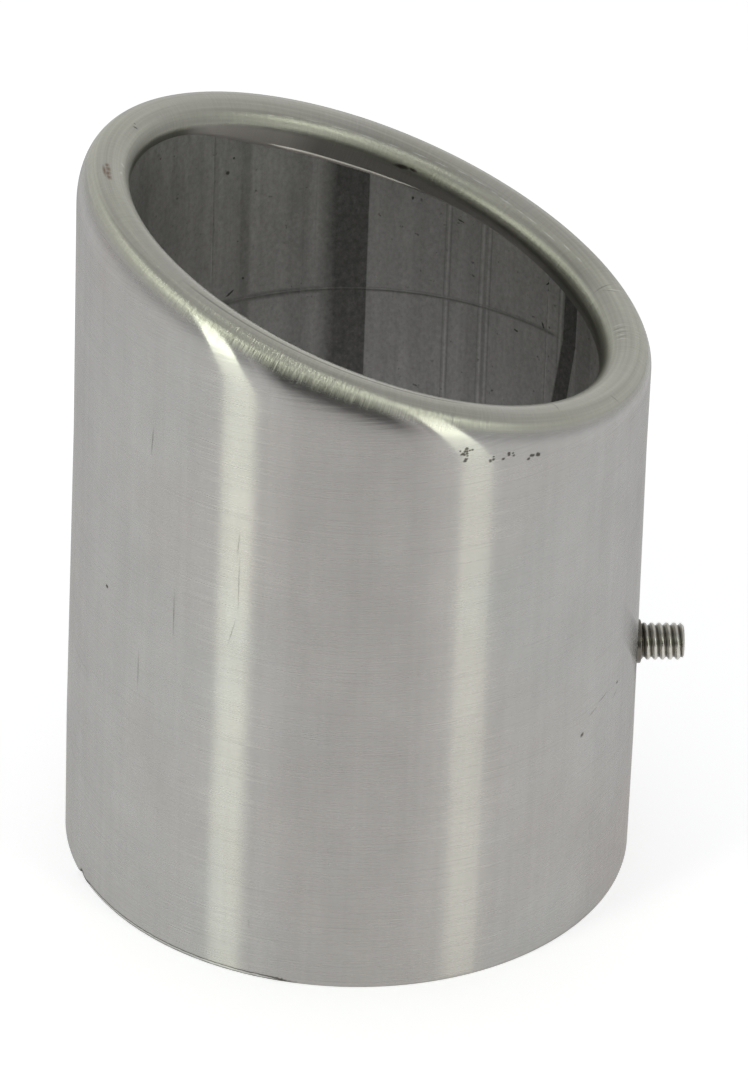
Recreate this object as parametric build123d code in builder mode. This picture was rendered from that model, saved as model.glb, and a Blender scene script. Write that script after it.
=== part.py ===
from build123d import *
from math import cos, radians, tan
import os

# Slash-cut exhaust tip with an in-rolled lip and a welded fixing stud.
# The tip stands on its inlet end. Z is the tube's axis, the origin is the centre of
# the inlet's cut edge, and +X points to the short side, which carries the stud.

# Tube: welded stainless tube, its lower end opened out by an expander
tube_diameter = 95.25
wall = 1.5
inlet_bore_diameter = 93.6
inlet_length = 22.0
flare_height = 79.4

# Slash cut, as the tilted plane that the lip's crown touches, and the lip rolled in along it
slash_height = 114.4
slash_angle = 20.0
roll_radius = 4.3
flank_length = 0.9

# Weld stud on the short side
stud_height = 37.4
stud_length = 8.0
thread_diameter = 6.35
thread_chamfer = 0.6
flange_diameter = 7.5
flange_thickness = 0.7
flange_round = 0.25

tube_radius = tube_diameter / 2
inlet_radius = inlet_bore_diameter / 2 + wall
slope = radians(slash_angle)

# The roll's centre line is an ellipse in a plane parallel to the slash, one roll radius below it
spine_radius = tube_radius - roll_radius
spine_height = slash_height - roll_radius / cos(slope)
spine_drop = spine_radius * tan(slope)
low_spine = spine_height - spine_drop
high_spine = spine_height + spine_drop


def slash_ellipse(height):
    """Ellipse that lies in the slash's tilt and stands over the spine circle."""
    with BuildLine(Plane((0, 0, height)).rotated((0, slash_angle, 0))) as ellipse:
        EllipticalCenterArc((0, 0), spine_radius / cos(slope), spine_radius, start_angle=0, arc_size=360)
    return ellipse


# Sections that follow the spine are kept upright by a copy of it straight above
roll_spine = slash_ellipse(spine_height).wire()
upright_guide = slash_ellipse(spine_height + tube_diameter).edge()

# Everything above the line where the wall turns into the roll
with BuildPart() as slash_waste:
    with BuildSketch(Plane.XZ):
        with Locations((tube_radius - wall / 2, low_spine)):
            waste_height = (high_spine - low_spine + 2 * wall) / cos(slope)
            Rectangle(3 * wall, waste_height, align=(Align.CENTER, Align.MIN))
    sweep(path=roll_spine, binormal=upright_guide)

# One sheet of constant thickness: sized inlet, flare, straight wall, half-round roll and short flank
with BuildPart() as tip_tube:
    with BuildSketch(Plane.XZ):
        with BuildLine():
            Polyline(
                (inlet_radius, 0),
                (inlet_radius, inlet_length),
                (tube_radius, flare_height),
                (tube_radius, high_spine + wall),
                (tube_radius - wall, high_spine + wall),
                (tube_radius - wall, flare_height),
                (inlet_radius - wall, inlet_length),
                (inlet_radius - wall, 0),
                close=True,
            )
        make_face()
    revolve(axis=Axis.Z)
    add(slash_waste.part, mode=Mode.SUBTRACT)
    with BuildSketch(Plane.XZ):
        with BuildLine():
            outer_roll = CenterArc((spine_radius, low_spine), roll_radius, 0, 180)
            inner_roll = CenterArc((spine_radius, low_spine), roll_radius - wall, 0, 180)
            Line(outer_roll @ 0, inner_roll @ 0)
            Polyline(
                outer_roll @ 1,
                outer_roll @ 1 - Vector(0, flank_length),
                inner_roll @ 1 - Vector(0, flank_length),
                inner_roll @ 1,
            )
        make_face()
    sweep(path=roll_spine, binormal=upright_guide)

# Headless stud: thin flange fused to the wall, threaded shank with a chamfered end
seat_share = (stud_height - inlet_length) / (flare_height - inlet_length)
seat_radius = inlet_radius + (tube_radius - inlet_radius) * min(max(seat_share, 0), 1)
with BuildPart() as weld_stud:
    with BuildSketch(Plane.XZ):
        with BuildLine():
            Polyline(
                (seat_radius - wall / 2, stud_height),
                (seat_radius - wall / 2, stud_height + flange_diameter / 2),
                (seat_radius + flange_thickness, stud_height + flange_diameter / 2),
                (seat_radius + flange_thickness, stud_height + thread_diameter / 2),
                (seat_radius + stud_length, stud_height + thread_diameter / 2),
                (seat_radius + stud_length, stud_height),
                close=True,
            )
        make_face()
    revolve(axis=Axis((0, 0, stud_height), (1, 0, 0)))
    rims = weld_stud.edges().filter_by(GeomType.CIRCLE).sort_by(Axis.X)
    flange_face = weld_stud.faces().filter_by(Axis.X).sort_by(Axis.X)[1]
    chamfer(rims[-1], length=thread_chamfer)
    fillet(flange_face.outer_wire().edges(), radius=flange_round)
    add(tip_tube.part, mode=Mode.SUBTRACT)

tip_tube.part.label = "tip_tube"
weld_stud.part.label = "weld_stud"

os.makedirs("parts", exist_ok=True)
export_step(tip_tube.part, "parts/tip_tube.step")
export_step(weld_stud.part, "parts/weld_stud.step")
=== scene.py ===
import math
import random

import bmesh
import bpy
from mathutils import Matrix, Vector


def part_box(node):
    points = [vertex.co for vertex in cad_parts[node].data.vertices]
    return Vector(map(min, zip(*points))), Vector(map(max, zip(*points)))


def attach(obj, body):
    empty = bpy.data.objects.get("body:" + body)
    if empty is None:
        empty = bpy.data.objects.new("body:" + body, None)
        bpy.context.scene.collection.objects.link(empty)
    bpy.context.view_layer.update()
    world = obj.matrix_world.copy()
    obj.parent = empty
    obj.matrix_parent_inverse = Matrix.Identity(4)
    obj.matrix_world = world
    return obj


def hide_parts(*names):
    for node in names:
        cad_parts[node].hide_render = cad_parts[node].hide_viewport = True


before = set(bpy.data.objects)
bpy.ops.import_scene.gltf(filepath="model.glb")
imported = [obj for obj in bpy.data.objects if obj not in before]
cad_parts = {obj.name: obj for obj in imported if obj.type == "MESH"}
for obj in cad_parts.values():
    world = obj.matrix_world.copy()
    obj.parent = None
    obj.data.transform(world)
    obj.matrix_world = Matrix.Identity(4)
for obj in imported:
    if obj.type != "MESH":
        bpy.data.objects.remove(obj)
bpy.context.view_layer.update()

# Tip tube: one welded stainless tube, slash-cut at the mouth, its edge rolled inwards into a
# half-round lip with a short turned-down flank, and its foot opened out slightly by an expander.
# It is brushed round the outside, brushed across the lip and left in its mill finish inside.
MM = 0.001
tube_radius = 47.625 * MM
wall = 1.5 * MM
inlet_length = 22.0 * MM
flare_height = 79.4 * MM
slash_height = 114.4 * MM
slash_angle = math.radians(20)
roll_radius = 4.3 * MM
flank_length = 0.9 * MM
cut_edge_break = 0.15 * MM
foot_band = 0.9 * MM
crease_depth = 0.04 * MM
crease_half_width = 0.25 * MM
tolerance = 0.001 * MM
edge_margin = 1.1
turns_round = 360
inlet_steps = 8
wall_steps = 16
roll_steps = 32
flank_steps = 2

tube_low, tube_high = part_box("tip_tube")
inlet_radius = min(tube_high.x, tube_high.y, -tube_low.x, -tube_low.y)
inlet_bore = inlet_radius - wall
tube_bore = tube_radius - wall
spine_radius = tube_radius - roll_radius
spine_height = slash_height - roll_radius / math.cos(slash_angle)
flank_bore = spine_radius - roll_radius
flank_foot = spine_height - flank_length
burr_foot = flank_foot + 1.5 * cut_edge_break
slash_rise = math.tan(slash_angle)


def draw_on(profile, vert, radius, height, steps=1):
    """Draws a sheet profile on from its last vertex to the next corner, in equal steps."""
    start = vert.co.copy()
    corner = Vector((radius, 0, height))
    for step in range(1, steps + 1):
        vert = bmesh.ops.extrude_vert_indiv(profile, verts=[vert])["verts"][0]
        vert.co = start.lerp(corner, step / steps)
    return vert


def roll_on(profile, vert, angle, steps):
    """Draws a sheet profile on from its last vertex around the roll's centre."""
    centre = (spine_radius, 0, spine_height)
    arc = bmesh.ops.spin(profile, geom=[vert], cent=centre, axis=(0, -1, 0), angle=angle, steps=steps)
    return next(item for item in arc["geom_last"] if isinstance(item, bmesh.types.BMVert))


def lip_axes(turn):
    """Outward, along the slanted rim, and upright across it, at a turn round the tube."""
    outward = Vector((math.cos(turn), math.sin(turn), 0))
    rim = Vector((-math.sin(turn), math.cos(turn), slash_rise * math.sin(turn))).normalized()
    return outward, rim, outward.cross(rim)


def lean_lip(radius, height, turn):
    """Point of the roll or flank, in the section square to the slash's slanted edge."""
    outward, rim, upright = lip_axes(turn)
    spine = outward * spine_radius
    spine.z = spine_height - slash_rise * spine.x
    return spine + outward * (radius - spine_radius) + upright * (height - spine_height)


def lean_wall(radius, height, turn, lead):
    """Point of the wall, which above the flare is stretched up to where the roll starts."""
    straight = Vector((radius * math.cos(turn), radius * math.sin(turn), min(height, flare_height)))
    share = (height - flare_height) / (spine_height - flare_height)
    return straight.lerp(lean_lip(radius, spine_height - lead, turn), max(share, 0))


def ease(value, start, end):
    """Smooth step from 0 at start to 1 at end."""
    share = min(max((value - start) / (end - start), 0), 1)
    return share * share * (3 - 2 * share)


def window(value, rise_start, rise_end, fall_start, fall_end):
    """Smooth step up to 1 and down again."""
    return ease(value, rise_start, rise_end) * (1 - ease(value, fall_start, fall_end))


tube_form = bmesh.new()
inside_layer = tube_form.verts.layers.int.new("inside")
bend_layer = tube_form.verts.layers.float.new("bend")
burr_layer = tube_form.verts.layers.float.new("burr")
scuff_layer = tube_form.verts.layers.float.new("scuff")
bare_and_painted_light_layer = tube_form.verts.layers.float.new("bare_and_painted_light")
haze_layer = tube_form.verts.layers.float.new("haze")
stroke_layer = tube_form.verts.layers.float_vector.new("stroke")

foot = tube_form.verts.new((inlet_radius, 0, cut_edge_break))
pen = draw_on(tube_form, foot, inlet_radius, foot_band)
pen = draw_on(tube_form, pen, inlet_radius, inlet_length, inlet_steps)
pen = draw_on(tube_form, pen, tube_radius, flare_height, wall_steps)
pen = draw_on(tube_form, pen, tube_radius, spine_height, wall_steps)
pen = roll_on(tube_form, pen, math.pi, roll_steps)
pen = draw_on(tube_form, pen, flank_bore, burr_foot, flank_steps)
pen = draw_on(tube_form, pen, flank_bore, flank_foot + cut_edge_break)
pen = draw_on(tube_form, pen, flank_bore + cut_edge_break, flank_foot)
pen = draw_on(tube_form, pen, flank_bore + wall - cut_edge_break, flank_foot)
pen[inside_layer] = True
pen = draw_on(tube_form, pen, flank_bore + wall, flank_foot + cut_edge_break)
pen = draw_on(tube_form, pen, flank_bore + wall, spine_height, flank_steps)
pen = roll_on(tube_form, pen, -math.pi, roll_steps // 2)
pen = draw_on(tube_form, pen, tube_bore, flare_height + crease_half_width, wall_steps)
pen = draw_on(tube_form, pen, tube_bore + crease_depth, flare_height)
pen = draw_on(tube_form, pen, tube_bore, flare_height - crease_half_width)
pen = draw_on(tube_form, pen, inlet_bore, inlet_length, wall_steps)
pen = draw_on(tube_form, pen, inlet_bore, cut_edge_break, inlet_steps)
pen = draw_on(tube_form, pen, inlet_bore + cut_edge_break, 0)
pen[inside_layer] = False
pen = draw_on(tube_form, pen, inlet_radius - cut_edge_break, 0)
tube_form.edges.new((pen, foot))
bmesh.ops.spin(
    tube_form,
    geom=tube_form.verts[:] + tube_form.edges[:],
    cent=(0, 0, 0),
    axis=(0, 0, 1),
    angle=math.tau,
    steps=turns_round,
    use_merge=True,
)
bmesh.ops.remove_doubles(tube_form, verts=tube_form.verts, dist=tolerance)
bmesh.ops.recalc_face_normals(tube_form, faces=tube_form.faces)

OUTSIDE, INSIDE = 0, 1
for face in tube_form.faces:
    face.smooth = True
    face.material_index = INSIDE if all(vert[inside_layer] for vert in face.verts) else OUTSIDE
for edge in tube_form.edges:
    first, second = edge.verts
    level = abs(first.co.z - second.co.z) < tolerance
    from_crease = abs(first.co.z - flare_height)
    at_crease = from_crease < edge_margin * crease_half_width and first[inside_layer]
    at_burr = abs(first.co.z - burr_foot) < tolerance and not first[inside_layer]
    edge.smooth = not (level and (at_crease or at_burr))

# The mouth was rolled a little off centre: at the front left the roll starts lower down the wall,
# so that its outer quarter is an ellipse, and at the back the flank was left longer, with a burr
# on its edge. The foot was deburred by hand on one side, down to a nick.
roll_lead = 3.6 * MM
flank_spare = 2.1 * MM
edge_burr = 0.25 * MM
burr_rise = 0.35 * MM
nick_rise = 0.9 * MM
nick_turn = -161
nick_half_width = 1.6
flank_bends = (0.94, 0.99)

# Turns round the tube, in degrees, at which each of these begins, is full, fades and ends
longer_flank = (50, 98, 108, 142)
burred_flank_painted_light = (70, 80, 106, 113)
deburred_foot = (-162, -155, -112, -100)
coarse_front_left = (-152, -126, -80, -62)
fine_front_right = (-72, -55, -25, -5)
coarse_short_side = (-10, 0, 28, 42)
dull_back = (8, 28, 80, 115)
dull_left = (-176, -162, -146, -130)
bare_flank_painted_bright = (90, 108, 128, 142)
bare_flank_painted_pale = (25, 50, 124, 138)

burr_dice = random.Random(3)
for vert in tube_form.verts:
    radius = math.hypot(vert.co.x, vert.co.y)
    height = vert.co.z
    turn = math.atan2(vert.co.y, vert.co.x)
    degrees = math.degrees(turn)
    across = radius - spine_radius
    along = height - spine_height
    rolled = along > tolerance or across < 0
    lead = 0.0
    if not vert[inside_layer]:
        lead = roll_lead * min(max(0.5 - 0.5 * (math.cos(turn) + math.sin(turn)), 0), 1)
    bend = math.atan2(max(along, 0), across) / math.pi if rolled else 0.0
    if rolled and across > 0:
        bend = math.atan2(along * roll_radius, across * (roll_radius + lead)) / math.pi
        height += lead * (along / roll_radius - 1)
    if rolled and along < 0:
        height += along * flank_spare / flank_length * window(degrees, *longer_flank)
    outward = Vector((math.cos(turn), math.sin(turn), 0))
    vert[bend_layer] = bend
    vert[stroke_layer] = outward * tube_radius + Vector((0, 0, bend * math.pi * roll_radius))
    coarse = 0.5 + 0.5 * window(degrees, *coarse_front_left) - 0.4 * window(degrees, *fine_front_right)
    vert[scuff_layer] = coarse + 0.25 * window(degrees, *coarse_short_side)
    vert[haze_layer] = max(window(degrees, *dull_back), 0.6 * window(degrees, *dull_left))
    # The flank's bare, matte back and its burred edge are drawn in a much lighter colour: painted light
    # over the real matte finish and burr.
    bared_and_painted_light = max(0.8 * window(degrees, *bare_flank_painted_bright), 0.4 * window(degrees, *bare_flank_painted_pale))
    at_flank_edge = along < cut_edge_break - flank_length + tolerance and across < 0
    burr_and_painted_light = at_flank_edge * window(degrees, *burred_flank_painted_light)
    vert[bare_and_painted_light_layer] = max(ease(bend, *flank_bends) * bared_and_painted_light, burr_and_painted_light)
    if radius < flank_bore + cut_edge_break / 2:
        radius -= edge_burr * burr_and_painted_light
    vert.co = lean_lip(radius, height, turn) if rolled else lean_wall(radius, height, turn, lead)
    if height < edge_margin * cut_edge_break and radius > inlet_radius - edge_margin * cut_edge_break:
        burr = window(degrees, *deburred_foot)
        nick = 1 - ease(abs(degrees - nick_turn), 0, nick_half_width)
        edge_share = height / cut_edge_break
        vert[burr_layer] = max(burr, nick) * edge_share
        vert.co.z += edge_share * burr * burr_rise * burr_dice.uniform(0.4, 1) + nick * nick_rise

tip_tube_mesh = bpy.data.meshes.new("tip_tube_skin")
tube_form.to_mesh(tip_tube_mesh)
tube_form.free()
tip_tube = bpy.data.objects.new("tip_tube_skin", tip_tube_mesh)
bpy.context.scene.collection.objects.link(tip_tube)


def shader_node(tree, kind, inputs=(), **settings):
    """One shader node. Its inputs are plain values or other nodes' outputs."""
    node = tree.nodes.new("ShaderNode" + kind)
    for name, value in settings.items():
        setattr(node, name, value)
    for socket, value in dict(inputs).items():
        if isinstance(value, bpy.types.NodeSocket):
            tree.links.new(value, node.inputs[socket])
        else:
            node.inputs[socket].default_value = value
    return node


def start_material(name):
    """Node material with an empty tree."""
    material = bpy.data.materials.new(name)
    material.use_nodes = True
    material.node_tree.nodes.clear()
    return material, material.node_tree


def show(tree, shader):
    """Puts a shader on its material's surface."""
    shader_node(tree, "OutputMaterial", {"Surface": shader.outputs[0]})


def own_place(tree):
    """Place in the piece's own coordinates, and its parts along X, Y and Z."""
    place = shader_node(tree, "TexCoord").outputs["Object"]
    return place, shader_node(tree, "SeparateXYZ", {0: place}).outputs


def carried(tree, name, output="Fac"):
    """Value that the mesh carries at its vertices."""
    return shader_node(tree, "Attribute", attribute_name=name).outputs[output]


def fine_noise(tree, place, scale, detail=3.0, roughness=0.6):
    """Noise over a place, with its own frequency along each axis, in waves per metre."""
    stretched = shader_node(tree, "Mapping", {"Vector": place, "Scale": scale}, vector_type="POINT")
    noise = shader_node(
        tree,
        "TexNoise",
        {"Vector": stretched.outputs[0], "Scale": 1.0, "Detail": detail, "Roughness": roughness},
    )
    return noise.outputs["Fac"]


def spread(tree, value, low, high, start=0.3, end=0.7):
    """Spreads a value from start to end over low to high, clamped."""
    ramp = shader_node(tree, "MapRange", {0: value, 1: start, 2: end, 3: low, 4: high}, clamp=True)
    return ramp.outputs[0]


def blend_values(tree, share, first, second):
    """Value between first and second."""
    node = shader_node(tree, "Mix", {0: share, 2: first, 3: second}, data_type="FLOAT")
    return node.outputs[0]


def blend_colours(tree, share, first, second):
    """Colour between first and second."""
    node = shader_node(tree, "Mix", {0: share, 6: first, 7: second}, data_type="RGBA")
    return node.outputs[2]


def plain_math(tree, operation, first, *others):
    """One operation over two or more values, from the first to the last."""
    result = first
    for other in others:
        result = shader_node(tree, "Math", {0: result, 1: other}, operation=operation).outputs[0]
    return result


def product(tree, *values):
    """Values multiplied."""
    return plain_math(tree, "MULTIPLY", *values)


def total(tree, *values):
    """Values added up."""
    return plain_math(tree, "ADD", *values)


def largest(tree, *values):
    """The largest of some values."""
    return plain_math(tree, "MAXIMUM", *values)


def difference(tree, value, other):
    """One value less another."""
    return plain_math(tree, "SUBTRACT", value, other)


def distance_from(tree, value, centre):
    """How far a value lies from a centre, on either side."""
    return plain_math(tree, "ABSOLUTE", difference(tree, value, centre), 0.0)


def dim(tree, colour, share):
    """Colour times a share of its brightness."""
    node = shader_node(tree, "VectorMath", {0: colour, "Scale": share}, operation="SCALE")
    return node.outputs[0]


def relief(tree, height, depth):
    """Normal of a fine relief, its depth in metres."""
    node = shader_node(tree, "Bump", {"Strength": 1.0, "Distance": depth, "Height": height})
    return node.outputs[0]


mark_depth = 1.0 * MM


def spot(centre, normal, along, sizes, tilt):
    """Place, turn and half sizes of a mark that lies in a surface, tilted by some degrees in it."""
    across = normal.cross(along)
    lean = math.radians(tilt)
    length = along * math.cos(lean) + across * math.sin(lean)
    axes = Matrix((length, normal.cross(length), normal)).transposed()
    return tuple(centre), tuple(axes.to_euler()), (sizes[0] * MM, sizes[1] * MM, mark_depth)


def on_wall(turn, height, sizes, tilt=0.0, radius=tube_radius):
    """Mark on the wall, with its turn in degrees, and its height and half sizes in millimetres."""
    outward, _, _ = lip_axes(math.radians(turn))
    centre = outward * radius + Vector((0, 0, height * MM))
    return spot(centre, outward, Vector((-outward.y, outward.x, 0)), sizes, tilt)


def on_lip(turn, bend, sizes, tilt=0.0):
    """Mark on the rolled lip, with its turn in degrees and its share of the way across the roll."""
    outward, rim, upright = lip_axes(math.radians(turn))
    normal = outward * math.cos(bend * math.pi) + upright * math.sin(bend * math.pi)
    centre = lean_lip(spine_radius, spine_height, math.radians(turn)) + normal * roll_radius
    return spot(centre, normal, rim, sizes, tilt)


def marked(tree, place, spots, core=0.7, edge=1.1, strength=1.0):
    """Strength of the marks at a place, full in the core of each spot and nothing past its edge."""
    nearest = None
    for centre, turn, sizes in spots:
        local = shader_node(
            tree,
            "Mapping",
            {"Vector": place, "Location": centre, "Rotation": turn, "Scale": sizes},
            vector_type="TEXTURE",
        )
        reach = shader_node(tree, "VectorMath", {0: local.outputs[0]}, operation="LENGTH")
        distance = reach.outputs["Value"]
        nearest = distance if nearest is None else plain_math(tree, "MINIMUM", nearest, distance)
    return spread(tree, nearest, strength, 0, core, edge)


def ragged(tree, place, reach, waves=2600):
    """A place shaken by fine noise, so that spots drawn there have uneven edges."""
    noise = shader_node(tree, "TexNoise", {"Vector": place, "Scale": waves, "Detail": 3.0})
    centred = shader_node(
        tree, "VectorMath", {0: noise.outputs["Color"], 1: (0.5, 0.5, 0.5)}, operation="SUBTRACT"
    )
    scaled = dim(tree, centred.outputs[0], 2 * reach)
    return shader_node(tree, "VectorMath", {0: place, 1: scaled}, operation="ADD").outputs[0]


# Pits in a loose row under the lip, and single pits, scratches, rubs and rust elsewhere.
# The pale dashes along the lip's inner side are partly rubs, partly painted glints.
# Turns are in degrees. Heights and half sizes are in millimetres.
pit_sizes = (0.15, 0.30)
pit_length = 1.3
pit_dice = random.Random(7)
pits = []
for turn, height, spread_round, spread_tall, count in (
    (-72.8, 103.0, 0.60, 0.45, 16),
    (-72.9, 101.6, 0.20, 0.20, 2),
    (-67.2, 100.9, 0.35, 0.30, 4),
    (-63.4, 100.9, 0.60, 0.22, 5),
    (-57.0, 99.1, 0.85, 0.22, 10),
):
    for _ in range(count):
        pit_turn = turn + math.degrees(pit_dice.gauss(0, spread_round) * MM / tube_radius)
        pit_height = height + pit_dice.gauss(0, spread_tall)
        pit_size = pit_dice.uniform(*pit_sizes)
        pits.append(on_wall(pit_turn, pit_height, (pit_length * pit_size, pit_size)))
pits += [
    on_lip(158.5, 0.70, (0.18, 0.50), 25),
    on_lip(157.4, 0.66, (0.14, 0.20)),
    on_lip(79.0, 0.92, (1.50, 0.40), 8),
    on_lip(76.4, 0.90, (0.80, 0.25), -6),
    on_wall(nick_turn, 0.8, (0.8, 0.6), 0, inlet_radius),
    on_wall(-152.1, 62.7, (0.42, 0.36)),
    on_wall(-40.4, 39.2, (0.58, 0.44), 35),
    on_wall(-26.6, 43.3, (0.34, 0.32)),
]
scratches = [
    on_lip(19.0, 0.55, (0.14, 1.9), 10),
    on_lip(17.2, 0.50, (0.12, 1.1), -25),
    on_lip(2.0, 0.58, (0.12, 1.3), 12),
    on_lip(0.2, 0.56, (0.12, 1.4), 8),
    on_lip(-1.8, 0.55, (0.12, 1.0), 15),
    on_lip(-30.7, 0.28, (0.12, 1.2), 30),
    on_lip(-49.2, 0.50, (0.12, 1.5), -10),
    on_wall(-33.1, 43.4, (1.6, 0.18), 12),
    on_wall(-37.0, 42.2, (1.2, 0.18), 15),
    on_wall(-27.5, 41.4, (0.9, 0.18), 18),
    on_wall(-117.1, 83.5, (0.10, 2.5), -4),
    on_wall(-116.8, 76.0, (0.11, 5.0), 0),
    on_wall(-118.0, 66.6, (0.11, 2.6), -14),
    on_wall(-140.8, 51.4, (0.14, 4.0), 0),
    on_wall(-131.5, 66.0, (0.14, 4.5), 0),
    on_wall(-138.2, 96.5, (0.16, 2.6), -5),
    on_wall(-112.5, 10.5, (0.11, 1.0), 0),
]
# Pale dashes on the lip: rubs, and along its inner side painted glints on the crest of the highlight.
rubs_and_painted_glints = [
    on_lip(112.6, 0.80, (0.9, 0.10)),
    on_lip(108.0, 0.78, (1.2, 0.10)),
    on_lip(102.0, 0.755, (1.4, 0.11)),
    on_lip(95.6, 0.75, (1.2, 0.10)),
    on_lip(89.0, 0.74, (1.5, 0.11)),
    on_lip(82.5, 0.72, (1.1, 0.10)),
    on_lip(76.2, 0.69, (1.4, 0.12)),
    on_lip(70.9, 0.67, (1.2, 0.12)),
    on_lip(66.2, 0.627, (1.3, 0.13)),
    on_lip(61.8, 0.624, (1.6, 0.13)),
    on_lip(57.4, 0.635, (0.7, 0.10)),
    on_lip(54.1, 0.643, (1.5, 0.14)),
    on_lip(49.6, 0.642, (1.0, 0.10)),
    on_lip(46.3, 0.638, (1.2, 0.13)),
    on_lip(40.3, 0.645, (1.4, 0.12)),
    on_lip(34.7, 0.594, (1.0, 0.12)),
    on_lip(30.1, 0.581, (0.8, 0.14)),
    on_lip(17.3, 0.44, (0.16, 1.5), -8),
    on_lip(3.4, 0.58, (0.12, 1.0), 5),
    on_lip(1.2, 0.57, (0.12, 1.3), -4),
    on_lip(-1.0, 0.57, (0.12, 0.9), 6),
    on_lip(-2.8, 0.556, (0.12, 1.1), 0),
    on_lip(177.4, 0.76, (0.55, 0.30), 30),
    on_lip(-178.4, 0.735, (0.50, 0.25), -20),
]
rust = [
    on_lip(-177.8, 0.555, (0.80, 0.42), 4),
    on_lip(-176.0, 0.545, (0.80, 0.48), -8),
    on_lip(-174.4, 0.550, (0.70, 0.40), 10),
    on_lip(-179.4, 0.545, (0.55, 0.34), 0),
    on_lip(-177.0, 0.505, (1.60, 0.26), 3),
]
# Round the stud's foot the wall is darkened: partly a heat tint, partly a painted reflection of the stud.
heat_tint_and_stud_reflection = [on_wall(0, 37.4, (10.5, 5.0))]

wall_warm = (0.438, 0.418, 0.402, 1)
wall_cool = (0.437, 0.430, 0.419, 1)
lip_green = (0.500, 0.500, 0.436, 1)
lip_grey = (0.500, 0.492, 0.452, 1)
bare_pink_painted_light = (0.95, 0.90, 0.885, 1)
filed_light = (0.53, 0.525, 0.51, 1)
heat_and_reflection_grey = (0.13, 0.124, 0.112, 1)
rub_and_glint_light = (0.72, 0.715, 0.68, 1)
pit_brown = (0.05, 0.044, 0.036, 1)
rust_brown = (0.18, 0.105, 0.062, 1)
mark_raggedness = 0.12 * MM
wall_roughness = (0.232, 0.238)
fine_anisotropy = -0.8
deep_roughness = 0.33
deep_anisotropy = -0.62
wall_relief = 0.02 * MM
dent_share = 3
lip_roughness = (0.31, 0.37)
lip_anisotropy = 0.88
lip_relief = 0.25 * MM
draw_share = 0.05
burr_line = 0.36
haze_roughness = 0.09
bare_roughness = 0.8
warm_front = (-47 * MM, -42 * MM)
shoulder = (0.01, 0.09)
lip_start, lip_end = 0.11, 0.20
fold_bend = 0.507

brushed, tree = start_material("brushed_outside")
place, axes = own_place(tree)
bend = carried(tree, "bend")
burr = carried(tree, "burr")
bare_and_painted_light = carried(tree, "bare_and_painted_light")
scuff = carried(tree, "scuff")
haze = carried(tree, "haze")
stroke = carried(tree, "stroke", "Vector")
wall_lines = fine_noise(tree, place, (60, 60, 1700), detail=3)
long_lines = fine_noise(tree, place, (55, 55, 3800), detail=2)
draw_lines = fine_noise(tree, place, (700, 700, 5), detail=2)
smudges = fine_noise(tree, place, (85, 85, 60), detail=6, roughness=0.7)
dents = fine_noise(tree, place, (60, 60, 45), detail=2)
stains = fine_noise(tree, place, (28, 28, 22), detail=3)
lip_strokes = fine_noise(tree, stroke, (2000, 2000, 240), detail=3)
lip_fibres = fine_noise(tree, stroke, (4200, 4200, 170), detail=1)
lip_draws = fine_noise(tree, stroke, (14, 14, 1700), detail=3)

uneven_place = ragged(tree, place, mark_raggedness)
pit_mask = marked(tree, uneven_place, pits, core=0.5, edge=1.2, strength=0.9)
scratch_mask = marked(tree, uneven_place, scratches, core=0.3, edge=1.3, strength=0.42)
rub_and_glint_mask = marked(tree, uneven_place, rubs_and_painted_glints, core=0.2, edge=1.3, strength=0.8)
rust_mask = marked(tree, uneven_place, rust, core=0.2, edge=1.4, strength=0.8)
heat_and_stud_reflection_mask = marked(tree, place, heat_tint_and_stud_reflection, core=0.35, edge=1.05, strength=0.8)
burr_edge = total(tree, burr, spread(tree, lip_strokes, -0.10, 0.10))
burr_mask = spread(tree, distance_from(tree, burr_edge, burr_line), 0.85, 0, 0.08, 0.26)
filed = spread(tree, burr_edge, 0, 1, 0.50, 0.60)
dark_marks = largest(tree, pit_mask, scratch_mask, burr_mask)

# The wall's brush lines run round the tube: fine ones everywhere, and deeper ones that spread
# the light further round it
front_haze = total(tree, stains, spread(tree, axes["Y"], 0.16, -0.08, *warm_front))
wall_tone = blend_colours(tree, spread(tree, front_haze, 0, 1, 0.4, 0.6), wall_cool, wall_warm)
wall_shade = product(
    tree,
    spread(tree, wall_lines, 0.992, 1.008),
    spread(tree, smudges, 0.95, 1.05),
    spread(tree, draw_lines, 0.98, 1.02),
    spread(tree, long_lines, 1, 0.93, 0.60, 0.70),
)
# Heat tint and painted reflection of the stud, darkening the wall round its foot.
wall_with_heat_and_reflection = blend_colours(tree, heat_and_stud_reflection_mask, dim(tree, wall_tone, wall_shade), heat_and_reflection_grey)
wall_rusted = blend_colours(tree, rust_mask, wall_with_heat_and_reflection, rust_brown)
wall_filed = blend_colours(tree, filed, wall_rusted, filed_light)
wall_colour = blend_colours(tree, dark_marks, wall_filed, pit_brown)
wall_rough = product(
    tree, spread(tree, wall_lines, *wall_roughness), spread(tree, bend, 1, 0.65, *shoulder)
)
wall_height = total(tree, wall_lines, product(tree, dents, dent_share))
upright = shader_node(tree, "CombineXYZ", {"Z": 1.0}).outputs[0]
fine_brush = shader_node(
    tree,
    "BsdfAnisotropic",
    {
        "Color": wall_colour,
        "Roughness": wall_rough,
        "Anisotropy": fine_anisotropy,
        "Tangent": upright,
        "Normal": relief(tree, wall_height, wall_relief),
    },
)
deep_brush = shader_node(
    tree,
    "BsdfAnisotropic",
    {
        "Color": wall_colour,
        "Roughness": deep_roughness,
        "Anisotropy": deep_anisotropy,
        "Tangent": upright,
    },
)
deep_share = product(
    tree, spread(tree, wall_lines, 0, 0.85, 0.50, 0.72), spread(tree, bend, 1, 0, *shoulder)
)
brushed_wall = shader_node(
    tree, "MixShader", {0: deep_share, 1: fine_brush.outputs[0], 2: deep_brush.outputs[0]}
)

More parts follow.
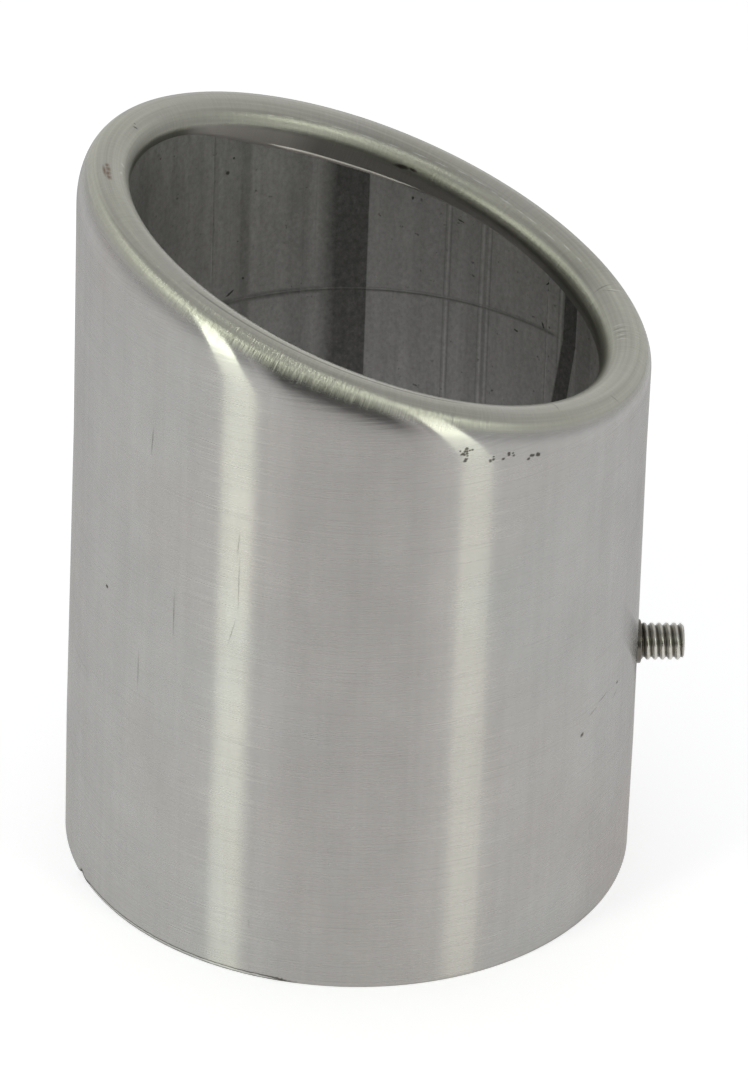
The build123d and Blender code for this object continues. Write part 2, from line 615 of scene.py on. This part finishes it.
# The lip was brushed by short strokes across it, over the lines that the rolling left along it
lip_tone = blend_colours(tree, spread(tree, smudges, 0, 1), lip_green, lip_grey)
# Towards the inner flank, where the roll turns into the tube, the lip is darkened: painted shade.
lip_shade_with_painted_inner_shade = product(
    tree,
    spread(tree, lip_strokes, 0.96, 1.04),
    spread(tree, lip_draws, 0.88, 1.10),
    spread(tree, bend, 1, 0.68, 0.76, 0.93),
    spread(tree, haze, 1, 0.92, 0.6, 1.0),
)
fold_offset = distance_from(tree, bend, fold_bend)
fold_line = product(
    tree, spread(tree, fold_offset, 0.42, 0, 0.004, 0.024), spread(tree, scuff, 0, 1, 0.78, 0.95)
)
lip_folded = blend_colours(tree, fold_line, dim(tree, lip_tone, lip_shade_with_painted_inner_shade), pit_brown)
# Rubs, and painted glints along the highlight on the lip's inner side.
lip_rubbed_and_glinting = blend_colours(tree, rub_and_glint_mask, lip_folded, rub_and_glint_light)
# Bare flank and burred edge: matte, and lightened as painted light.
lip_bared_and_painted_light = blend_colours(tree, bare_and_painted_light, lip_rubbed_and_glinting, bare_pink_painted_light)
lip_rusted = blend_colours(tree, rust_mask, lip_bared_and_painted_light, rust_brown)
rim = shader_node(
    tree,
    "CombineXYZ",
    {
        "X": product(tree, axes["Y"], -1.0),
        "Y": axes["X"],
        "Z": product(tree, axes["Y"], slash_rise),
    },
).outputs[0]
stroke_depth = product(tree, scuff, spread(tree, bend, 1, 0.6, 0.36, 0.50))
lip_height = total(tree, product(tree, lip_strokes, stroke_depth), product(tree, lip_draws, draw_share))
lip_rough = total(
    tree, spread(tree, scuff, *lip_roughness, 0.1, 1.0), spread(tree, haze, 0, haze_roughness, 0, 1)
)
brushed_lip = shader_node(
    tree,
    "BsdfPrincipled",
    {
        "Base Color": blend_colours(tree, dark_marks, lip_rusted, pit_brown),
        "Metallic": 1.0,
        "Roughness": blend_values(tree, bare_and_painted_light, lip_rough, bare_roughness),
        "Anisotropic": lip_anisotropy,
        "Tangent": rim,
        "Normal": relief(tree, lip_height, lip_relief),
    },
)
scuffed = spread(tree, scuff, 0, 1, 0.7, 1.0)
stroke_reach = product(tree, spread(tree, lip_fibres, -0.012, 0.012), scuffed)
lip_share = spread(tree, total(tree, bend, stroke_reach), 0, 1, lip_start, lip_end)
show(
    tree,
    shader_node(tree, "MixShader", {0: lip_share, 1: brushed_wall.outputs[0], 2: brushed_lip.outputs[0]}),
)

# Inside, the expander's fourteen jaws left upright stripes between them, and some upright stripes are
# drawn dark.
# Dark stripes: both edges and their widths in degrees, strength, and lean in degrees per metre.
jaw_count = 14
jaw_first = 37.5
dark_stripes = (
    (86.1, 97.2, 0.25, 4.2, 0.88, 0),
    (35.1, 39.6, 0.25, 0.5, 0.95, 190),
    (29.5, 35.1, 0.8, 0.3, 0.25, 0),
    (97.0, 104.5, 3.0, 2.0, 0.22, 0),
    (111.6, 115.2, 0.8, 1.2, 0.36, 0),
)
rubbed_lines = ((68.9, 0.28), (60.9, 0.30), (59.5, 0.24), (40.2, 0.30))
rubbed_core = 0.3
rubbed_border = 2.2
scored_lines = ((68.9, 0.32), (60.3, 0.38), (97.3, 0.3), (100.2, 0.3), (44.0, 0.25), (121.0, 0.25))
score_depth = 3
crease_core = 0.16 * MM
crease_edge = 0.60 * MM
crease_end = (40, 43)
crease_wider = (90, 98)
specks = [
    on_wall(turn, height, sizes, tilt, tube_bore)
    for turn, height, sizes, tilt in (
        (66.3, 95.1, (0.7, 0.16), 25),
        (44.4, 88.6, (0.5, 0.16), -50),
        (45.1, 80.1, (0.2, 0.8), -25),
        (52.2, 76.9, (0.5, 0.2), 15),
        (117.6, 105.0, (0.4, 0.4), 0),
        (116.2, 107.6, (0.25, 0.25), 0),
        (113.4, 83.6, (0.3, 0.3), 0),
        (116.4, 81.2, (1.0, 0.25), -35),
        (77.0, 98.0, (0.25, 0.35), 0),
    )
]
speck_raggedness = 0.15 * MM
mill_roughness = (0.36, 0.46)
mill_relief = 0.012 * MM
mill_light = (0.71, 0.70, 0.685, 1)
mill_dark = (0.60, 0.594, 0.58, 1)
mill_rubbed = (0.92, 0.91, 0.89, 1)
inside_dark_and_shade = (0.15, 0.148, 0.142, 1)

mill, tree = start_material("mill_inside")
place, axes = own_place(tree)
turn_radians = plain_math(tree, "ARCTAN2", axes["Y"], axes["X"])
turn = product(tree, turn_radians, 180 / math.pi)
grain = fine_noise(tree, place, (1200, 1200, 90), detail=4)
cross_grain = fine_noise(tree, place, (140, 140, 2200), detail=3)
blotches = fine_noise(tree, place, (160, 160, 70), detail=6, roughness=0.75)
speckle = fine_noise(tree, place, (1400, 1400, 1100), detail=4, roughness=0.7)
streaks = fine_noise(tree, place, (520, 520, 9), detail=4, roughness=0.7)
fleck = fine_noise(tree, place, (700, 700, 700), detail=2)

mill_base = blend_colours(tree, spread(tree, blotches, 0, 1), mill_dark, mill_light)
mill_shade = product(tree, spread(tree, speckle, 0.82, 1.12), spread(tree, streaks, 0.92, 1.07))
jaw_offset = plain_math(tree, "DIVIDE", difference(tree, turn, jaw_first), 360 / jaw_count)
jaw_gap = plain_math(tree, "PINGPONG", jaw_offset, 0.5)
stripes = [product(tree, spread(tree, jaw_gap, 0.2, 0, 0.03, 0.10), spread(tree, grain, 0.5, 1))]
below_crease = largest(tree, difference(tree, flare_height, axes["Z"]), 0.0)
broken = spread(tree, speckle, 1.08, 0.82)
for left, right, hard, soft, strength, lean in dark_stripes:
    leaned_turn = difference(tree, turn, product(tree, below_crease, lean))
    rise = spread(tree, leaned_turn, 0, strength, left, left + hard)
    fall = spread(tree, leaned_turn, strength, 0, right - soft, right)
    stripes.append(product(tree, plain_math(tree, "MINIMUM", rise, fall), broken))
rubbed = []
for line_turn, half_width in rubbed_lines:
    offset = distance_from(tree, turn, line_turn)
    rubbed.append(spread(tree, offset, 0.6, 0, rubbed_core * half_width, half_width))
    border_offset = distance_from(tree, offset, rubbed_border * half_width)
    stripes.append(spread(tree, border_offset, 0.35, 0, 0, half_width))
rubbed_mask = product(tree, largest(tree, *rubbed), spread(tree, speckle, 0.3, 1))
mill_worn = blend_colours(tree, rubbed_mask, dim(tree, mill_base, mill_shade), mill_rubbed)

# The crease at the flare is drawn as a dark line, wider and stronger past a turn of about 95 degrees:
# painted shade in the groove.
crease_offset = distance_from(tree, axes["Z"], flare_height)
crease_spread = product(tree, crease_offset, spread(tree, turn, 1, 0.6, *crease_wider))
painted_crease_shade = product(
    tree,
    spread(tree, crease_spread, 0.95, 0, crease_core, crease_edge),
    spread(tree, blotches, 0.4, 1),
    spread(tree, turn, 0.6, 1, *crease_wider),
    spread(tree, turn, 0, 1, *crease_end),
)
speck_mask = marked(tree, ragged(tree, place, speck_raggedness), specks)
flecks = spread(tree, fleck, 0, 0.7, 0.68, 0.76)
dark_marks_and_crease_shade = largest(tree, *stripes, speck_mask, flecks, painted_crease_shade)
scores = []
for line_turn, half_width in scored_lines:
    offset = distance_from(tree, turn, line_turn)
    scores.append(spread(tree, offset, score_depth, 0, 0, half_width))
mill_height = total(tree, *scores, grain, cross_grain)
show(
    tree,
    shader_node(
        tree,
        "BsdfPrincipled",
        {
            "Base Color": blend_colours(tree, dark_marks_and_crease_shade, mill_worn, inside_dark_and_shade),
            "Metallic": 1.0,
            "Roughness": spread(tree, grain, *mill_roughness),
            "Normal": relief(tree, mill_height, mill_relief),
        },
    ),
)

tip_tube_mesh.materials.append(brushed)
tip_tube_mesh.materials.append(mill)
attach(tip_tube, "root")
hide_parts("tip_tube")

# Weld stud: a headless steel stud with a right-hand rolled thread and a thin flange at its foot.
# The flange is fused to the tube's short side by a quick weld, which leaves a narrow collar.
stud_low, stud_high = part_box("weld_stud")
stud_axis_height = (stud_low.z + stud_high.z) / 2
flange_radius = (stud_high.z - stud_low.z) / 2
stud_end = stud_high.x
stud_length = 8.0 * MM
stud_seat = stud_end - stud_length
flange_thickness = 0.7 * MM
flange_round = 0.25 * MM
flange_segments = 96
thread_radius = 3.175 * MM
thread_pitch = 1.27 * MM
thread_depth = 0.46 * MM
thread_chamfer = 0.5 * MM
thread_steps = 48
thread_turns = 9
turn_merge = 0.004 * MM
sharp_angle = math.radians(50)

stud_form = bmesh.new()
root_radius = thread_radius - thread_depth
low_flank = root_radius + 0.28 * thread_depth
high_flank = root_radius + 0.86 * thread_depth
tooth = [
    (0.00, root_radius),
    (0.10, root_radius),
    (0.20, low_flank),
    (0.36, high_flank),
    (0.46, thread_radius),
    (0.64, thread_radius),
    (0.74, high_flank),
    (0.90, low_flank),
    (1.00, root_radius),
]
flange_top = stud_seat + flange_thickness
thread_start = flange_top - 2 * thread_pitch
chain = [
    stud_form.verts.new((thread_start + share * thread_pitch, 0, radius)) for share, radius in tooth
]
for first, second in zip(chain, chain[1:]):
    stud_form.edges.new((first, second))
bmesh.ops.spin(
    stud_form,
    geom=stud_form.verts[:] + stud_form.edges[:],
    cent=(0, 0, 0),
    axis=(1, 0, 0),
    dvec=(thread_pitch / thread_steps, 0, 0),
    angle=math.tau * thread_turns,
    steps=thread_steps * thread_turns,
)
bmesh.ops.remove_doubles(stud_form, verts=stud_form.verts, dist=turn_merge)
for plane_x, direction in ((stud_seat + flange_thickness / 2, -1), (stud_end, 1)):
    cut = bmesh.ops.bisect_plane(
        stud_form,
        geom=stud_form.verts[:] + stud_form.edges[:] + stud_form.faces[:],
        plane_co=(plane_x, 0, 0),
        plane_no=(direction, 0, 0),
        clear_outer=True,
    )
    rim_edges = [item for item in cut["geom_cut"] if isinstance(item, bmesh.types.BMEdge)]
    bmesh.ops.contextual_create(stud_form, geom=rim_edges)
for vert in stud_form.verts:
    radius = math.hypot(vert.co.y, vert.co.z)
    limit = thread_radius - thread_chamfer + (stud_end - vert.co.x)
    if radius > limit:
        vert.co.y *= limit / radius
        vert.co.z *= limit / radius
bmesh.ops.recalc_face_normals(stud_form, faces=stud_form.faces)

flange = bmesh.ops.create_cone(
    stud_form,
    cap_ends=True,
    segments=flange_segments,
    radius1=flange_radius,
    radius2=flange_radius,
    depth=flange_thickness + wall / 2,
    matrix=Matrix.Translation((stud_seat + flange_thickness / 2 - wall / 4, 0, 0))
    @ Matrix.Rotation(math.pi / 2, 4, "Y"),
)
outer_rim = [
    edge
    for edge in stud_form.edges
    if all(vert in flange["verts"] and abs(vert.co.x - flange_top) < tolerance for vert in edge.verts)
]
bmesh.ops.bevel(
    stud_form,
    geom=outer_rim,
    offset=flange_round,
    offset_type="OFFSET",
    affect="EDGES",
    segments=4,
    profile=0.5,
    material=-1,
)
bmesh.ops.translate(stud_form, verts=stud_form.verts, vec=(0, 0, stud_axis_height))
for face in stud_form.faces:
    face.smooth = True
weld_stud_mesh = bpy.data.meshes.new("weld_stud_thread")
stud_form.to_mesh(weld_stud_mesh)
stud_form.free()
weld_stud_mesh.set_sharp_from_angle(angle=sharp_angle)
weld_stud = bpy.data.objects.new("weld_stud_thread", weld_stud_mesh)
bpy.context.scene.collection.objects.link(weld_stud)

crest_light = (0.62, 0.605, 0.56, 1)
crest_stained = (0.44, 0.42, 0.37, 1)
painted_root_shade = (0.09, 0.085, 0.072, 1)
weld_brown = (0.07, 0.06, 0.048, 1)
stud_roughness = (0.24, 0.36)
root_reach = 0.45 * thread_depth
end_band = (stud_end - 0.20 * MM, stud_end - 0.05 * MM)
weld_band = (flange_top - 0.1 * MM, flange_top + thread_pitch)
stud_steel, tree = start_material("stud_steel")
place, axes = own_place(tree)
from_axis = shader_node(
    tree, "CombineXYZ", {"Y": axes["Y"], "Z": difference(tree, axes["Z"], stud_axis_height)}
)
stud_reach = shader_node(tree, "VectorMath", {0: from_axis.outputs[0]}, operation="LENGTH")
# The thread's roots are darkened, except at the end face: painted shade in the grooves.
near_root = spread(tree, stud_reach.outputs["Value"], 1, 0, root_radius, root_radius + root_reach)
painted_shade_in_roots = product(tree, near_root, spread(tree, axes["X"], 1, 0, *end_band))
near_weld = spread(tree, axes["X"], 0.85, 0, *weld_band)
stains = fine_noise(tree, place, (900, 900, 900), detail=4)
stud_tone = blend_colours(tree, spread(tree, stains, 0, 1), crest_stained, crest_light)
stud_with_root_shade = blend_colours(tree, painted_shade_in_roots, stud_tone, painted_root_shade)
show(
    tree,
    shader_node(
        tree,
        "BsdfPrincipled",
        {
            "Base Color": blend_colours(tree, near_weld, stud_with_root_shade, weld_brown),
            "Metallic": 1.0,
            "Roughness": spread(tree, stains, *stud_roughness),
        },
    ),
)
weld_stud_mesh.materials.append(stud_steel)
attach(weld_stud, "root")
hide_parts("weld_stud")

# Floor: a white studio table. It shows white to the camera and in the metal's reflections,
# and it keeps the shadow that the tip casts on it. Inside the tube's foot its glow is dimmed,
# a painted shadow, and near the tip it glows brighter, a painted pool of light.
floor_radius = 6.0
floor_segments = 96
table_white = (0.81, 0.81, 0.84, 1)
glow_white = (1, 1, 1, 1)
glow_in_painted_shadow = 0.35
glow_near, near_end = 0.52, 0.25
glow_far, far_start = 0.15, 0.80
floor_form = bmesh.new()
bmesh.ops.create_circle(floor_form, cap_ends=True, segments=floor_segments, radius=floor_radius)
floor_mesh = bpy.data.meshes.new("studio_floor")
floor_form.to_mesh(floor_mesh)
floor_form.free()
floor = bpy.data.objects.new("studio_floor", floor_mesh)
bpy.context.scene.collection.objects.link(floor)
white_table, tree = start_material("white_table")
path = shader_node(tree, "LightPath").outputs
seen = largest(tree, path["Is Camera Ray"], path["Is Glossy Ray"], path["Is Transmission Ray"])
place, _ = own_place(tree)
from_tube = shader_node(tree, "VectorMath", {0: place}, operation="LENGTH").outputs["Value"]
# Inside the tube's foot the floor's glow is dimmed: a painted shadow.
outside_painted_shadow = spread(tree, from_tube, glow_in_painted_shadow, 1, tube_bore, inlet_radius)
# The floor glows brighter near the tip and fainter further off: a painted pool of light.
painted_light_pool = spread(tree, from_tube, glow_near, glow_far, near_end, far_start)
show(
    tree,
    shader_node(
        tree,
        "BsdfPrincipled",
        {
            "Base Color": table_white,
            "Roughness": 0.9,
            "Specular IOR Level": 0.0,
            "Emission Color": glow_white,
            "Emission Strength": product(tree, outside_painted_shadow, painted_light_pool, seen),
        },
    ),
)
floor_mesh.materials.append(white_table)

# Studio light: a soft room, paler low down than overhead, and on each side of the camera a soft
# box high up with a strip box under it.
room_levels = ((0.0, 0.78), (0.10, 0.78), (0.28, 0.60), (0.48, 0.60), (0.62, 0.57), (0.76, 0.66))
room_front, front_depth = 0.72, -0.2
room_back, back_depth = 1.25, 0.9
world = bpy.data.worlds.new("studio_room")
bpy.context.scene.world = world
world.use_nodes = True
tree = world.node_tree
tree.nodes.clear()
room_direction = shader_node(tree, "TexCoord").outputs["Generated"]
room_axes = shader_node(tree, "SeparateXYZ", {0: room_direction}).outputs
room_tones = shader_node(tree, "ValToRGB", {0: room_axes["Z"]})
for position, tone in room_levels:
    stop = room_tones.color_ramp.elements.new(position)
    stop.color = (tone, tone, tone, 1)
room_tones.color_ramp.elements.remove(room_tones.color_ramp.elements[-1])
room_depth = spread(tree, room_axes["Y"], room_front, room_back, front_depth, back_depth)
room_tone = dim(tree, room_tones.outputs[0], room_depth)
room = shader_node(tree, "Background", {"Color": room_tone, "Strength": 1.0})
shader_node(tree, "OutputWorld", {"Surface": room.outputs[0]})

camera_turn = math.radians(-3.812)
lamp_colour = (0.93, 1.0, 0.80)
lamp_aim = Vector((0, 0, 0.06))
high_size = (0.295, 0.50)
low_size = (0.285, 0.60)
for name, side, distance, height, size, power in (
    ("left_high", -48.8, 1.20, 0.87, high_size, 2.9),
    ("left_low", -44.4, 1.30, 0.31, low_size, 1.56),
    ("right_high", 47.8, 1.20, 0.87, high_size, 2.0),
    ("right_low", 43.8, 1.30, 0.31, low_size, 1.12),
):
    lamp = bpy.data.lights.new(name, "AREA")
    lamp.shape = "RECTANGLE"
    lamp.size, lamp.size_y = size
    lamp.energy = power
    lamp.color = lamp_colour
    softbox = bpy.data.objects.new(name, lamp)
    bearing = camera_turn + math.radians(side)
    lamp_place = Vector((math.sin(bearing), -math.cos(bearing), 0)) * distance
    lamp_place.z = height
    softbox.location = lamp_place
    softbox.rotation_euler = (lamp_aim - lamp_place).to_track_quat("-Z", "Y").to_euler()
    softbox.visible_camera = False
    bpy.context.scene.collection.objects.link(softbox)

# Dark end of the room behind the camera: a black card that pales towards its sides. Only the
# metal's reflections show it.
dark_distance = 0.70
dark_height = 0.60
dark_width = 0.86
dark_shift = 0.02
card_black = (0.03, 0.03, 0.03, 1)
side_glow = 0.65
pale_sides = (0.30, 0.5)
room_end_form = bmesh.new()
bmesh.ops.create_grid(room_end_form, x_segments=1, y_segments=1, size=0.5)
room_end_mesh = bpy.data.meshes.new("dark_room_end")
room_end_form.to_mesh(room_end_mesh)
room_end_form.free()
room_end = bpy.data.objects.new("dark_room_end", room_end_mesh)
bpy.context.scene.collection.objects.link(room_end)
room_end.matrix_world = (
    Matrix.Rotation(camera_turn, 4, "Z")
    @ Matrix.Translation((dark_shift, -dark_distance, dark_height / 2))
    @ Matrix.Rotation(math.pi / 2, 4, "X")
    @ Matrix.Diagonal((dark_width, dark_height, 1, 1))
)
dark_room, tree = start_material("dark_room")
_, axes = own_place(tree)
from_middle = distance_from(tree, axes["X"], 0.0)
show(
    tree,
    shader_node(
        tree,
        "BsdfPrincipled",
        {
            "Base Color": card_black,
            "Roughness": 1.0,
            "Specular IOR Level": 0.0,
            "Emission Color": glow_white,
            "Emission Strength": spread(tree, from_middle, 0, side_glow, *pale_sides),
        },
    ),
)
room_end_mesh.materials.append(dark_room)
room_end.visible_camera = False
room_end.visible_diffuse = False
room_end.visible_shadow = False

# Camera: a long lens that looks down on the tip from the front, with the short side on the right.
# It is turned, raised and rolled as the tip's outline asks.
camera_height_angle = math.radians(32.336)
camera_roll = math.radians(2.135)
camera_distance = 1.23825
aim_right = 2.924 * MM
aim_height = 57.726 * MM
focal_pixels = 7381.0
image_height = 1080
camera_data = bpy.data.cameras.new("product_camera")
camera_data.sensor_width = 36.0
camera_data.lens = focal_pixels * camera_data.sensor_width / image_height
camera = bpy.data.objects.new("product_camera", camera_data)
right = Vector((math.cos(camera_turn), math.sin(camera_turn), 0))
back = Vector(
    (
        math.sin(camera_turn) * math.cos(camera_height_angle),
        -math.cos(camera_turn) * math.cos(camera_height_angle),
        math.sin(camera_height_angle),
    )
)
up = back.cross(right)
rolled_right = math.cos(camera_roll) * right + math.sin(camera_roll) * up
rolled_up = math.cos(camera_roll) * up - math.sin(camera_roll) * right
aim = right * aim_right + Vector((0, 0, aim_height))
pose = Matrix((rolled_right, rolled_up, back)).transposed().to_4x4()
pose.translation = aim + back * camera_distance
camera.matrix_world = pose
camera_data.clip_end = 50
bpy.context.scene.collection.objects.link(camera)
bpy.context.scene.camera = camera
bpy.context.scene.view_settings.view_transform = "Standard"
